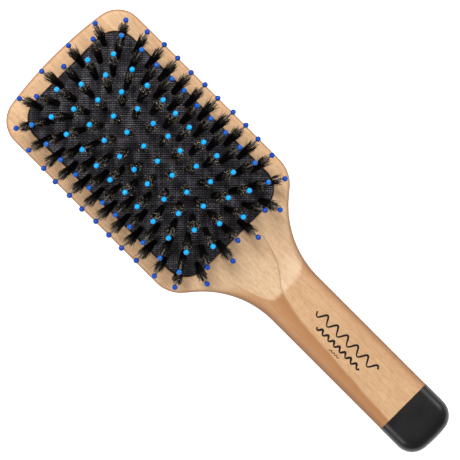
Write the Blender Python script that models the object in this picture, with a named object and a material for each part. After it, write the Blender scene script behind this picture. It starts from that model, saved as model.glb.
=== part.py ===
"""Paddle hair brush: beech body, air cushion, nine rows of bristle tufts and ball-tipped quills.

The brush lies on its back. +Z points out of the cushion, +Y runs from the handle to the head,
and the origin is under the middle of the brush, on the surface it lies on.
"""

from math import asin, cos, pi, radians, sin, sqrt

import bmesh
import bpy
from mathutils import Vector
from mathutils.geometry import delaunay_2d_cdt

MM = 0.001

# --- Driving dimensions: the beech body -------------------------------------------------------
BRUSH_LENGTH = 245 * MM
RIM_SIDE = 8.5 * MM  # wood between the cushion and the side of the head
RIM_TOP = 9.0 * MM  # wood between the cushion and the top of the head
RIM_NECK = 5.3 * MM  # wood between the cushion and the narrowing of the head
HEAD_THICKNESS = 14 * MM
HEAD_CORNER_RADIUS = 13 * MM
HEAD_CROWN_RADIUS = 200 * MM  # the head's top edge is a shallow arc
HEAD_FRONT_ROUND = 2.2 * MM
HEAD_BACK_ROUND = 4.0 * MM
SHOULDER_RADIUS = 16 * MM
SHOULDER_ANGLE = radians(50)  # how far the shoulders turn in, from the brush's length
NECK_RADIUS = 45 * MM
HANDLE_WIDTH = 28.8 * MM
HANDLE_THICKNESS = 17 * MM
HANDLE_FRONT_ROUND = 5.0 * MM
HANDLE_BACK_ROUND = 6.0 * MM
HANDLE_END_RADIUS = 9 * MM
HANDLE_END_CROWN = 60 * MM
RAMP_LENGTH = 26 * MM  # the front face rises from the head to the handle over this length
RAMP_TO_HANDLE = 6.5 * MM  # from the ramp's end to where the handle's sides turn straight

# --- Driving dimensions: the dipped handle end ------------------------------------------------
DIP_LENGTH = 20.4 * MM
DIP_THICKNESS = 0.7 * MM

# --- Driving dimensions: the cushion ----------------------------------------------------------
CUSHION_WIDTH = 62.2 * MM
CUSHION_LENGTH = 107.4 * MM
CUSHION_CORNER_RADIUS = 11 * MM
CUSHION_THICKNESS = 1.7 * MM
DOME_HEIGHT = 9 * MM
DOME_POWER_ACROSS = 2.2
DOME_POWER_ALONG = 2.6
LIP_DEPTH = 1.0 * MM  # from the head's front face down to the flange
FLANGE_WIDTH = 1.6 * MM
FLANGE_THICKNESS = 1.2 * MM
CHAMBER_DEPTH = 10 * MM

# --- Driving dimensions: tufts and quills -----------------------------------------------------
ROWS = 9  # rows run along the brush; odd rows have the shorter count
SHORT_ROW = 12
LONG_ROW = 13
EDGE_TO_OUTER_ROW = 3.9 * MM
EDGE_TO_END_TUFT = 3.5 * MM
SIDE_SPLAY = radians(30)  # lean of a tuft at the cushion's long edge
END_SPLAY = radians(28.6)  # lean of a tuft at the cushion's short edge
SPLAY_BOW = 0.38  # how much the sideways lean bows over its linear rise
END_SPLAY_POWER = 1.6  # the lengthwise lean rises with this power in the middle row
END_SPLAY_RISE = 3.1  # and with this much more at the long edges
END_SPLAY_EASE = 0.5  # share of the lengthwise lean lost at the long edges
SIDE_SPLAY_EASE_POWER = 6.5  # the sideways lean dies away to the short edges with this power
BRISTLE_LENGTH = 18.5 * MM
BRISTLE_WAIST_RADIUS = 1.35 * MM
BRISTLE_TIP_RADIUS = 2.2 * MM
BRISTLE_KNOT_RADIUS = 2.0 * MM
QUILL_LENGTH = 25.5 * MM  # from the cushion's face to the middle of the ball
QUILL_RADIUS = 0.5 * MM
QUILL_TOP_RADIUS = 0.42 * MM
QUILL_FOOT_RADIUS = 1.15 * MM
BALL_RADIUS = 1.25 * MM
STRIP_THICKNESS = 0.8 * MM  # both strips that carry a row under the cushion
PIVOT_DEPTH = 1.5 * MM  # a row rocks about a line this far below the cushion's face

# --- Clearances -------------------------------------------------------------------------------
GAP = 0.3 * MM  # between pieces that touch
BORE_CLEARANCE = 0.45 * MM  # corner to corner, from a quill to the bristles round it
HOLE_CLEARANCE = 0.36 * MM  # corner to corner, from a tuft to its hole in the cushion
STRIP_CLEARANCE = 0.6 * MM  # from the cushion's inside down to the bristle strip
CUTTER_MARGIN = 10 * MM  # how far a cutter runs on past what it cuts

# --- Mesh fineness ----------------------------------------------------------------------------
SIDES = 6  # of a tuft, a quill and a hole, with flats towards the next one in the row
NEXT_FLAT = 1  # the side of such a ring that faces the next tuft
BACK_FLAT = 4  # the side that faces the one before
ARC_STEPS = 7
ROUND_STEPS = 3
BALL_RINGS = 2
FIT_STEPS = 6  # repeats when a point slides along a tuft's axis onto the dome
SAME_POINT = 0.0001 * MM  # points of the pierced sheet this close are one
PIVOT_SIZE = 10 * MM  # how large a pivot is drawn
SHARP_ANGLE = radians(40)  # edges that turn more than this are shaded sharp

# --- What follows from them -------------------------------------------------------------------
HALF_WIDTH = CUSHION_WIDTH / 2
HALF_LENGTH = CUSHION_LENGTH / 2
HEAD_HALF_WIDTH = HALF_WIDTH + RIM_SIDE
HANDLE_HALF_WIDTH = HANDLE_WIDTH / 2
TOP_Y = BRUSH_LENGTH / 2
END_Y = -BRUSH_LENGTH / 2
CUSHION_Y = TOP_Y - RIM_TOP - HALF_LENGTH
SHOULDER_Y = CUSHION_Y - HALF_LENGTH - RIM_NECK + SHOULDER_RADIUS
DIP_Y = END_Y + DIP_LENGTH
ROW_PITCH = (HALF_WIDTH - EDGE_TO_OUTER_ROW) / ((ROWS - 1) / 2)
TUFT_PITCH = (HALF_LENGTH - EDGE_TO_END_TUFT) / ((LONG_ROW - 1) / 2)
FACE_Z = HEAD_THICKNESS
BRISTLE_STRIP_TOP = -(CUSHION_THICKNESS + STRIP_CLEARANCE)  # heights along a tuft's axis
BRISTLE_STRIP_BOTTOM = BRISTLE_STRIP_TOP - STRIP_THICKNESS
QUILL_STRIP_TOP = BRISTLE_STRIP_BOTTOM - GAP
QUILL_STRIP_BOTTOM = QUILL_STRIP_TOP - STRIP_THICKNESS

COLOURS = {
    "beech": ((0.72, 0.49, 0.29, 1), 0.5, 0.0),
    "dip": ((0.012, 0.012, 0.014, 1), 0.3, 0.0),
    "cushion": ((0.02, 0.02, 0.022, 1), 0.85, 0.0),
    "bristle": ((0.012, 0.010, 0.009, 1), 0.55, 0.0),
    "quill": ((0.02, 0.22, 0.75, 1), 0.25, 0.0),
}


def material(name):
    """The named finish, made once and shared by the pieces that have it."""
    found = bpy.data.materials.get(name)
    if found:
        return found
    colour, roughness, metallic = COLOURS[name]
    found = bpy.data.materials.new(name)
    found.use_nodes = True
    shader = found.node_tree.nodes["Principled BSDF"]
    shader.inputs["Base Color"].default_value = colour
    shader.inputs["Roughness"].default_value = roughness
    shader.inputs["Metallic"].default_value = metallic
    return found


def add_object(name, points, faces, finish=None):
    """A mesh object in the scene. Without a finish it's a cutter, which isn't rendered."""
    mesh = bpy.data.meshes.new(name)
    mesh.from_pydata([tuple(p) for p in points], [], faces)
    work = bmesh.new()
    work.from_mesh(mesh)
    bmesh.ops.recalc_face_normals(work, faces=work.faces)
    work.to_mesh(mesh)
    work.free()
    piece = bpy.data.objects.new(name, mesh)
    bpy.context.scene.collection.objects.link(piece)
    if finish:
        mesh.materials.append(material(finish))
        mesh.shade_smooth()
        mesh.set_sharp_from_angle(angle=SHARP_ANGLE)
    else:
        piece.hide_render = True
        piece.display_type = "WIRE"
    return piece


def pivot(name, place, parent=None):
    """An empty on a joint's axis, which carries the pieces that the joint moves."""
    empty = bpy.data.objects.new(name, None)
    bpy.context.scene.collection.objects.link(empty)
    empty.empty_display_size = PIVOT_SIZE
    hang(empty, parent, place)
    return empty


def hang(thing, parent, place=Vector((0, 0, 0))):
    """Puts a thing under a parent empty, which isn't turned, at a place in the brush's frame."""
    thing.location = place
    thing.parent = parent
    while parent:
        thing.location -= parent.location
        parent = parent.parent


def boolean(piece, operation, other):
    """Adds a Boolean modifier that joins, keeps or takes the other object."""
    modifier = piece.modifiers.new(other.name, "BOOLEAN")
    modifier.operation = operation
    modifier.object = other
    modifier.solver = "EXACT"


def smooth_step(x):
    x = min(max(x, 0.0), 1.0)
    return x * x * (3 - 2 * x)


# --- The beech body ---------------------------------------------------------------------------


def arc(centre, radius, start, end):
    """Points on an arc, both ends included."""
    return [
        Vector(
            (
                centre[0] + radius * cos(start + (end - start) * i / ARC_STEPS),
                centre[1] + radius * sin(start + (end - start) * i / ARC_STEPS),
            )
        )
        for i in range(ARC_STEPS + 1)
    ]


def crowned_end(half_width, y, crown, corner, way):
    """From the middle of a shallow end arc round its corner to the side. way is +1 up, -1 down."""
    lean = asin((half_width - corner) / (crown - corner))
    points = arc((0, 0), crown, pi / 2, pi / 2 - lean)
    drop = (crown - corner) * cos(lean)
    points += arc((half_width - corner, drop), corner, pi / 2 - lean, 0)[1:]
    return [Vector((p.x, y + way * (p.y - crown))) for p in points]


def body_outline():
    """The right half of the body's outline, from the head's top to the handle's end."""
    head = crowned_end(HEAD_HALF_WIDTH, TOP_Y, HEAD_CROWN_RADIUS, HEAD_CORNER_RADIUS, 1)
    shoulder = arc(
        (HEAD_HALF_WIDTH - SHOULDER_RADIUS, SHOULDER_Y), SHOULDER_RADIUS, 0, -SHOULDER_ANGLE
    )
    neck_centre_x = HANDLE_HALF_WIDTH + NECK_RADIUS
    neck_start_x = neck_centre_x - NECK_RADIUS * cos(SHOULDER_ANGLE)
    slope = (shoulder[-1].x - neck_start_x) / sin(SHOULDER_ANGLE) * cos(SHOULDER_ANGLE)
    neck_y = shoulder[-1].y - slope - NECK_RADIUS * sin(SHOULDER_ANGLE)
    neck = arc((neck_centre_x, neck_y), NECK_RADIUS, pi - SHOULDER_ANGLE, pi)
    end = crowned_end(HANDLE_HALF_WIDTH, END_Y, HANDLE_END_CROWN, HANDLE_END_RADIUS, -1)
    return head + shoulder + neck + end[::-1], neck_y


def station(y, neck_y):
    """(height of the front face, its edge rounding, the back's edge rounding) at this place."""
    ramp = min(max((neck_y + RAMP_TO_HANDLE + RAMP_LENGTH - y) / RAMP_LENGTH, 0.0), 1.0)
    blend = smooth_step(ramp)
    return (
        HEAD_THICKNESS + (HANDLE_THICKNESS - HEAD_THICKNESS) * ramp,
        HEAD_FRONT_ROUND + (HANDLE_FRONT_ROUND - HEAD_FRONT_ROUND) * blend,
        HEAD_BACK_ROUND + (HANDLE_BACK_ROUND - HEAD_BACK_ROUND) * blend,
    )


def outward(points):
    """The outward normal at each point of the right half outline, whose ends lie on the middle."""
    normals = []
    for i, p in enumerate(points):
        before = points[i - 1] if i else Vector((-points[1].x, points[1].y))
        last = i == len(points) - 1
        after = Vector((-points[-2].x, points[-2].y)) if last else points[i + 1]
        along = after - before
        normals.append(Vector((-along.y, along.x)).normalized())
    return normals


def body_shape(inset):
    """(points, faces) of the whole body, taken in by the inset on every side."""
    outline, neck_y = body_outline()
    normals = outward(outline)
    last = len(outline) - 1
    levels = []
    for step in range(2 * ROUND_STEPS + 2):
        top = step > ROUND_STEPS
        turn = pi / 2 * ((step - ROUND_STEPS - 1 if top else step) / ROUND_STEPS)
        ring = []
        for p, n in zip(outline, normals):
            height, front, back = station(p.y, neck_y)
            radius = max(front if top else back, 2 * inset) - inset
            if top:
                z = height - inset - radius + radius * sin(turn)
                pulled = radius * (1 - cos(turn))
            else:
                z = inset + radius * (1 - cos(turn))
                pulled = radius * (1 - sin(turn))
            q = p - n * (inset + pulled)
            ring.append(Vector((max(q.x, 0.0), q.y, z)))
        left = [Vector((-q.x, q.y, q.z)) for q in ring[last - 1 : 0 : -1]]
        levels.append(ring + left)
    around = len(levels[0])
    points = [p for ring in levels for p in ring]
    faces = [
        (k * around + i, k * around + (i + 1) % around, (k + 1) * around + (i + 1) % around,
         (k + 1) * around + i)
        for k in range(len(levels) - 1)
        for i in range(around)
    ]
    for base in (0, (len(levels) - 1) * around):
        for i in range(last):
            rung = [base + i, base + i + 1, base + (around - i - 1) % around,
                    base + (around - i) % around]
            faces.append(tuple(dict.fromkeys(rung)))
    return points, faces


def box(name, low, high):
    """A plain cutter block between two corners."""
    points = [(x, y, z) for z in (low[2], high[2]) for y in (low[1], high[1]) for x in (low[0], high[0])]
    faces = [(0, 2, 3, 1), (4, 5, 7, 6), (0, 1, 5, 4), (2, 6, 7, 3), (0, 4, 6, 2), (1, 3, 7, 5)]
    return add_object(name, points, faces)


# --- The cushion's outline, shared by the cushion and its seat in the wood --------------------


def cushion_loop(grow):
    """The cushion's rounded-rectangle outline, grown by this much all round."""
    radius = CUSHION_CORNER_RADIUS + grow
    inner_x = HALF_WIDTH - CUSHION_CORNER_RADIUS
    inner_y = HALF_LENGTH - CUSHION_CORNER_RADIUS
    points = []
    for quarter, (sx, sy) in enumerate(((1, 1), (-1, 1), (-1, -1), (1, -1))):
        start = quarter * pi / 2
        points += arc((sx * inner_x, CUSHION_Y + sy * inner_y), radius, start, start + pi / 2)
    return points


def prism(name, loop, low, high):
    """A cutter with this outline between two heights."""
    n = len(loop)
    points = [(p.x, p.y, z) for z in (low, high) for p in loop]
    faces = [tuple(range(n)), tuple(range(n, 2 * n))]
    faces += [(i, (i + 1) % n, n + (i + 1) % n, n + i) for i in range(n)]
    return add_object(name, points, faces)


def make_body():
    """The one-piece beech head and handle, with the cushion's seat and the end turned down."""
    side = HEAD_HALF_WIDTH + CUTTER_MARGIN
    over = HANDLE_THICKNESS + CUTTER_MARGIN
    body = add_object("beech_body", *body_shape(0), "beech")
    tail = box("dip_zone", (-side, END_Y - CUTTER_MARGIN, -CUTTER_MARGIN), (side, DIP_Y, over))
    boolean(body, "DIFFERENCE", tail)
    tenon = add_object("tenon", *body_shape(DIP_THICKNESS + GAP))
    boolean(body, "UNION", tenon)
    seat = prism("chamber", cushion_loop(GAP), FACE_Z - CHAMBER_DEPTH, over)
    boolean(body, "DIFFERENCE", seat)
    groove = prism(
        "groove",
        cushion_loop(FLANGE_WIDTH + 2 * GAP),
        FACE_Z - LIP_DEPTH - FLANGE_THICKNESS - GAP,
        FACE_Z - LIP_DEPTH + GAP,
    )
    boolean(body, "DIFFERENCE", groove)


def make_dip():
    """The black dipped skin over the last stretch of the handle."""
    side = HEAD_HALF_WIDTH + CUTTER_MARGIN
    over = HANDLE_THICKNESS + CUTTER_MARGIN
    skin = add_object("handle_dip", *body_shape(0), "dip")
    rest = box("wood_zone", (-side, DIP_Y - GAP, -CUTTER_MARGIN), (side, TOP_Y + CUTTER_MARGIN, over))
    boolean(skin, "DIFFERENCE", rest)
    core = add_object("dip_core", *body_shape(DIP_THICKNESS))
    boolean(skin, "DIFFERENCE", core)


# --- The dome, and the tufts that stand on it -------------------------------------------------


def dome(x, y):
    """Height of the cushion's face. x and y are measured in the brush's frame."""
    u = min(abs(x) / HALF_WIDTH, 1.0)
    v = min(abs(y - CUSHION_Y) / HALF_LENGTH, 1.0)
    return FACE_Z + DOME_HEIGHT * (1 - u**DOME_POWER_ACROSS) * (1 - v**DOME_POWER_ALONG)


def lean(x, y):
    """The unit vector along a tuft rooted here: upright in the middle, splayed at the edges."""
    u = x / HALF_WIDTH
    v = (y - CUSHION_Y) / HALF_LENGTH
    across = sin(SIDE_SPLAY) * ((1 + SPLAY_BOW) * u - SPLAY_BOW * u**3)
    across *= 1 - abs(v) ** SIDE_SPLAY_EASE_POWER
    along = sin(END_SPLAY) * abs(v) ** (END_SPLAY_POWER + END_SPLAY_RISE * u**2)
    along *= (1 - END_SPLAY_EASE * u**4) * (1 if v > 0 else -1)
    return Vector((across, along, sqrt(1 - across**2 - along**2)))


class Tuft:
    """One tuft's place: its root on the cushion's face, its axis, and the axes across it."""

    def __init__(self, x, y):
        self.root = Vector((x, y, dome(x, y)))
        self.axis = lean(x, y)
        self.along = (Vector((0, 1, 0)) - self.axis * self.axis.y).normalized()
        self.across = self.along.cross(self.axis)

    def ring(self, height, radius):
        """A ring across the axis, with flats towards the neighbours in the row."""
        middle = self.root + self.axis * height
        turns = [2 * pi * i / SIDES for i in range(SIDES)]
        return [middle + (self.across * cos(t) + self.along * sin(t)) * radius for t in turns]

    def ring_on(self, drop, radius):
        """A ring that lies on the cushion's face, or this far below it."""
        found = []
        for p in self.ring(0, radius):
            for _ in range(FIT_STEPS):
                p = p + self.axis * ((dome(p.x, p.y) - drop - p.z) / self.axis.z)
            found.append(p)
        return found


def row_x(row):
    """Where a row lies across the brush."""
    return (row - (ROWS - 1) / 2) * ROW_PITCH


def row_of_tufts(row):
    """The tufts of one row, from the handle's end to the head's top."""
    count = LONG_ROW if row % 2 else SHORT_ROW
    x = row_x(row)
    return [
        Tuft(x, CUSHION_Y + (i - (count - 1) / 2) * TUFT_PITCH)
        for i in range(count)
    ]


class Shell:
    """Points and faces gathered while a row is built."""

    def __init__(self):
        self.points = []
        self.faces = []

    def add(self, ring):
        """Adds a ring's points and returns their numbers."""
        start = len(self.points)
        self.points += ring
        return list(range(start, start + len(ring)))

    def band(self, low, high, skip=()):
        """Joins two rings with quads, leaving out the sides in skip."""
        for i in range(SIDES):
            if i not in skip:
                j = (i + 1) % SIDES
                self.faces.append((low[i], low[j], high[j], high[i]))

    def link(self, low, high, next_low, next_high):
        """Joins the flat of one foot to the facing flat of the next one in the row."""
        near = [low[NEXT_FLAT], high[NEXT_FLAT], high[NEXT_FLAT + 1], low[NEXT_FLAT + 1]]
        far = [next_low[BACK_FLAT + 1], next_high[BACK_FLAT + 1], next_high[BACK_FLAT],
               next_low[BACK_FLAT]]
        for i in range(4):
            j = (i + 1) % 4
            self.faces.append((near[i], near[j], far[j], far[i]))


def open_sides(i, count):
    """The sides of a foot that are joined to a neighbour, and so have no face."""
    joined = {NEXT_FLAT, BACK_FLAT}
    if i == 0:
        joined.remove(BACK_FLAT)
    if i == count - 1:
        joined.remove(NEXT_FLAT)
    return joined


def make_bristle_row(row):
    """A row of bristle tufts on the strip that binds their knots, bored for the quills."""
    tufts = row_of_tufts(row)
    bore = QUILL_RADIUS + BORE_CLEARANCE
    shell = Shell()
    feet = []
    for i, tuft in enumerate(tufts):
        low = shell.add(tuft.ring(BRISTLE_STRIP_BOTTOM, BRISTLE_KNOT_RADIUS))
        waist = shell.add(tuft.ring(BRISTLE_STRIP_TOP, BRISTLE_WAIST_RADIUS))
        top = shell.add(tuft.ring(BRISTLE_LENGTH, BRISTLE_TIP_RADIUS))
        bore_top = shell.add(tuft.ring(BRISTLE_LENGTH, bore))
        bore_low = shell.add(tuft.ring(BRISTLE_STRIP_BOTTOM, bore))
        shell.band(low, waist, open_sides(i, len(tufts)))
        for one, other in ((waist, top), (top, bore_top), (bore_top, bore_low), (bore_low, low)):
            shell.band(one, other)
        feet.append((low, waist))
    for (low, high), (next_low, next_high) in zip(feet, feet[1:]):
        shell.link(low, high, next_low, next_high)
    return add_object(f"bristle_row_{row + 1}", shell.points, shell.faces, "bristle")


def make_quill_row(row):
    """A row of ball-tipped quills on the strip they are moulded on."""
    tufts = row_of_tufts(row)
    shell = Shell()
    feet = []
    for i, tuft in enumerate(tufts):
        low = shell.add(tuft.ring(QUILL_STRIP_BOTTOM, QUILL_FOOT_RADIUS))
        high = shell.add(tuft.ring(QUILL_STRIP_TOP, QUILL_RADIUS))
        under_ball = QUILL_LENGTH - sqrt(BALL_RADIUS**2 - QUILL_TOP_RADIUS**2)
        below = shell.add(tuft.ring(under_ball, QUILL_TOP_RADIUS))
        shell.faces.append(tuple(low))
        shell.band(low, high, open_sides(i, len(tufts)))
        shell.band(high, below)
        for ring in range(BALL_RINGS):
            rise = pi / 2 * (2 * (ring + 0.5) / BALL_RINGS - 1) * BALL_RINGS / (BALL_RINGS + 1)
            above = shell.add(
                tuft.ring(QUILL_LENGTH + BALL_RADIUS * sin(rise), BALL_RADIUS * cos(rise))
            )
            shell.band(below, above)
            below = above
        pole = shell.add([tuft.root + tuft.axis * (QUILL_LENGTH + BALL_RADIUS)])[0]
        shell.faces += [(below[k], below[(k + 1) % SIDES], pole) for k in range(SIDES)]
        feet.append((low, high))
    for (low, high), (next_low, next_high) in zip(feet, feet[1:]):
        shell.link(low, high, next_low, next_high)
    return add_object(f"quill_row_{row + 1}", shell.points, shell.faces, "quill")


def pierced_sheet(shell, edge, holes):
    """Triangles over the cushion's plan inside the edge, leaving the holes open. All are numbers of
    points that the shell already has."""
    loops = [edge] + holes
    numbers = [n for loop in loops for n in loop]
    owner = {n: i for i, loop in enumerate(loops) for n in loop}
    at = {n: i for i, n in enumerate(numbers)}
    flat = [Vector((shell.points[n][0], shell.points[n][1])) for n in numbers]
    ties = [(at[a], at[b]) for loop in loops for a, b in zip(loop, loop[1:] + loop[:1])]
    made = delaunay_2d_cdt(flat, ties, [], 0, SAME_POINT)
    sources = made[3]
    for triangle in made[2]:
        corners = [numbers[sources[i][0]] for i in triangle]
        owners = {owner[n] for n in corners}
        if owners == {0} or len(owners) > 1:
            shell.faces.append(tuple(corners))


def make_cushion():
    """The fabric-faced rubber dome: pierced for every tuft, with a lip and a flange at its rim."""
    tufts = [tuft for row in range(ROWS) for tuft in row_of_tufts(row)]
    hole = BRISTLE_WAIST_RADIUS + HOLE_CLEARANCE
    flange_top = FACE_Z - LIP_DEPTH
    flange_bottom = flange_top - FLANGE_THICKNESS
    shell = Shell()

    def rim(grow, height):
        loop = cushion_loop(grow)
        return shell.add([Vector((p.x, p.y, height(p) if callable(height) else height)) for p in loop])

    face_edge = rim(0, FACE_Z)
    rings = [
        face_edge,
        rim(0, flange_top),
        rim(FLANGE_WIDTH, flange_top),
        rim(FLANGE_WIDTH, flange_bottom),
        rim(-CUSHION_THICKNESS, flange_bottom),
        rim(-CUSHION_THICKNESS, lambda p: dome(p.x, p.y) - CUSHION_THICKNESS),
    ]
    for one, other in zip(rings, rings[1:]):
        for i in range(len(one)):
            j = (i + 1) % len(one)
            shell.faces.append((one[i], one[j], other[j], other[i]))
    outer = [shell.add(tuft.ring_on(0, hole)) for tuft in tufts]
    inner = [shell.add(tuft.ring_on(CUSHION_THICKNESS, hole)) for tuft in tufts]
    for one, other in zip(outer, inner):
        shell.band(one, other)
    pierced_sheet(shell, face_edge, outer)
    pierced_sheet(shell, rings[-1], inner)
    return add_object("cushion", shell.points, shell.faces, "cushion")


def main():
    for old in list(bpy.data.objects):
        bpy.data.objects.remove(old)
    make_body()
    make_dip()
    press = pivot("cushion_press", Vector((0, CUSHION_Y, FACE_Z)))
    hang(make_cushion(), press)
    for row in range(ROWS):
        x = row_x(row)
        axis_z = dome(x, CUSHION_Y) - PIVOT_DEPTH
        lean_axis = pivot(f"row_{row + 1}_lean", Vector((x, CUSHION_Y, axis_z)), press)
        hang(make_bristle_row(row), lean_axis)
        hang(make_quill_row(row), lean_axis)


main()
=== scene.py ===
"""The looks of a wooden paddle hair brush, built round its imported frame.

The frame's axes: +Z points out of the cushion, +Y runs from the handle to the head.
"""

from __future__ import annotations

import logging
import math
from dataclasses import dataclass, field
from enum import Enum

import bmesh
import bpy
import numpy as np
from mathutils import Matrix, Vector
from mathutils.geometry import delaunay_2d_cdt


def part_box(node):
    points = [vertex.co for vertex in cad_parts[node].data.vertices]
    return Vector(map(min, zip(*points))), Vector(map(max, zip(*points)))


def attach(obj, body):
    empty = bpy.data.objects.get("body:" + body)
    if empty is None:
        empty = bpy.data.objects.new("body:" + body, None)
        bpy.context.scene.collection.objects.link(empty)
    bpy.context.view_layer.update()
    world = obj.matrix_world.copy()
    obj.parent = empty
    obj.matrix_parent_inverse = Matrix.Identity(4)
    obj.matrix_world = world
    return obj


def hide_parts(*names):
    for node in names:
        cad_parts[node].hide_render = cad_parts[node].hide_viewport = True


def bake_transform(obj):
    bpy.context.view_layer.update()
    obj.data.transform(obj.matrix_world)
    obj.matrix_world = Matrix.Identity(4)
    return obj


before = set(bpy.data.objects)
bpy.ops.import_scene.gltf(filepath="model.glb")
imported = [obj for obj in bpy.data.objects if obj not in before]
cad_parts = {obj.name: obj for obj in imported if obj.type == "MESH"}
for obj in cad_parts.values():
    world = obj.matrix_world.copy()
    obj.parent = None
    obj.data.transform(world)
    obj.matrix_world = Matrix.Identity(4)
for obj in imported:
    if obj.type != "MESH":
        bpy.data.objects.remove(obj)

LOG = logging.getLogger("paddle_brush")
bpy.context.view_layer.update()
MM = 0.001
SEED = 41
Socket = bpy.types.NodeSocket
Colour = tuple[float, float, float]


class Body(Enum):
    """The frame's fixed bodies. The rows have names of their own."""

    WOOD = "body"
    CUSHION = "cushion"


class Slot(Enum):
    """The record's material slots."""

    BEECH = "beech"
    DIP = "black_dip"
    CUSHION = "cushion"
    BRISTLE = "bristle"
    QUILL = "quill"


# --- Node work ----------------------------------------------------------------------------------


class Shader:
    """A material whose nodes are added and joined by short calls."""

    def __init__(self, name: str) -> None:
        """Makes an empty Principled material.

        Args:
            name: The material's name.
        """
        self.material = bpy.data.materials.new(name)
        self.material.use_nodes = True
        self.tree = self.material.node_tree
        self.surface = self.tree.nodes["Principled BSDF"]

    def add(self, kind: str, **settings: object) -> bpy.types.Node:
        """Adds a node.

        Args:
            kind: The node's type, without its ShaderNode prefix.
            **settings: Properties set on the node.

        Returns:
            The new node.
        """
        node = self.tree.nodes.new("ShaderNode" + kind)
        for name, value in settings.items():
            setattr(node, name, value)
        return node

    def put(self, target: Socket, value: object) -> None:
        """Links a socket to a target, or sets a plain value on it.

        Args:
            target: The input that is set.
            value: A socket, a number, or a colour of three numbers.
        """
        if isinstance(value, bpy.types.NodeSocket):
            self.tree.links.new(value, target)
        elif isinstance(value, tuple) and len(value) == 3 and target.type == "RGBA":
            target.default_value = (*value, 1.0)
        else:
            target.default_value = value

    def plain(self, **values: object) -> None:
        """Sets shader inputs to a number, a colour or a socket, by name, with _ for a space."""
        for name, value in values.items():
            self.put(self.surface.inputs[name.replace("_", " ")], value)

    def place(self, scale: Colour, turn: float = 0.0) -> Socket:
        """The point on the object, turned about Z and then scaled.

        Args:
            scale: Repeats per metre along each axis.
            turn: The turn about Z in radians.

        Returns:
            The scaled coordinates.
        """
        turned = self.add("Mapping", vector_type="POINT")
        self.put(turned.inputs["Vector"], self.add("TexCoord").outputs["Object"])
        turned.inputs["Rotation"].default_value = (0, 0, turn)
        scaled = self.add("Mapping", vector_type="POINT")
        self.put(scaled.inputs["Vector"], turned.outputs["Vector"])
        scaled.inputs["Scale"].default_value = scale
        return scaled.outputs["Vector"]

    def axis(self, letter: str, turn: float = 0.0) -> Socket:
        """One coordinate of the point on the object.

        Args:
            letter: X, Y or Z.
            turn: The turn about Z in radians.

        Returns:
            The coordinate in millimetres.
        """
        parts = self.add("SeparateXYZ")
        self.put(parts.inputs[0], self.place((1 / MM,) * 3, turn))
        return parts.outputs[letter]

    def noise(self, scale: Colour, detail: float = 3.0, rough: float = 0.55, turn: float = 0.0) -> Socket:
        """Noise over the object.

        Args:
            scale: Repeats per metre along each axis.
            detail: How many finer layers it has.
            rough: How strong the finer layers are.
            turn: How far the axes are turned about Z, in radians.

        Returns:
            The noise's value, about 0.5 on average.
        """
        node = self.add("TexNoise")
        self.put(node.inputs["Vector"], self.place(scale, turn))
        node.inputs["Scale"].default_value = 1.0
        node.inputs["Detail"].default_value = detail
        node.inputs["Roughness"].default_value = rough
        return node.outputs["Fac"]

    def maths(self, operation: str, a: object, b: object = 0.0, c: object = 0.0) -> Socket:
        """Does one sum.

        Args:
            operation: The Math node's operation.
            a: The first number or socket.
            b: The second one.
            c: The third one, where the operation takes it.

        Returns:
            The result.
        """
        node = self.add("Math", operation=operation)
        for target, value in zip(node.inputs, (a, b, c)):
            self.put(target, value)
        return node.outputs[0]

    def span(
        self, value: object, low: object, high: object, to: tuple = (0.0, 1.0), even: bool = False
    ) -> Socket:
        """Maps a value from low..high onto the two numbers in to, clamped.

        Args:
            value: What is mapped.
            low: The value that gives the first number.
            high: The value that gives the second number.
            to: The two numbers.
            even: Whether the rise is straight, and not eased at both ends.

        Returns:
            The mapped value.
        """
        node = self.add("MapRange", interpolation_type="LINEAR" if even else "SMOOTHSTEP")
        self.put(node.inputs["Value"], value)
        self.put(node.inputs["From Min"], low)
        self.put(node.inputs["From Max"], high)
        self.put(node.inputs["To Min"], to[0])
        self.put(node.inputs["To Max"], to[1])
        return node.outputs["Result"]

    def mix(self, share: object, a: object, b: object) -> Socket:
        """Blends two colours.

        Args:
            share: How much of the second one is in the blend, from 0 to 1.
            a: The first colour.
            b: The second colour.

        Returns:
            The blend.
        """
        node = self.add("Mix", data_type="RGBA", blend_type="MIX")
        self.put(node.inputs["Factor"], share)
        colours = [socket for socket in node.inputs if socket.type == "RGBA"]
        self.put(colours[0], a)
        self.put(colours[1], b)
        return next(socket for socket in node.outputs if socket.type == "RGBA")

    def bump(self, height: Socket, depth: float, strength: float = 1.0) -> None:
        """Turns a height into the surface's normal.

        Args:
            height: The height, from 0 to 1.
            depth: How tall 1 is, in metres.
            strength: How much of the bump shows.
        """
        node = self.add("Bump")
        node.inputs["Strength"].default_value = strength
        node.inputs["Distance"].default_value = depth
        self.put(node.inputs["Height"], height)
        self.put(self.surface.inputs["Normal"], node.outputs["Normal"])

    def attribute(self, name: str) -> Socket:
        """A number stored on the mesh's points."""
        return self.add("Attribute", attribute_name=name).outputs["Fac"]


# --- Finishes -----------------------------------------------------------------------------------


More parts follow.
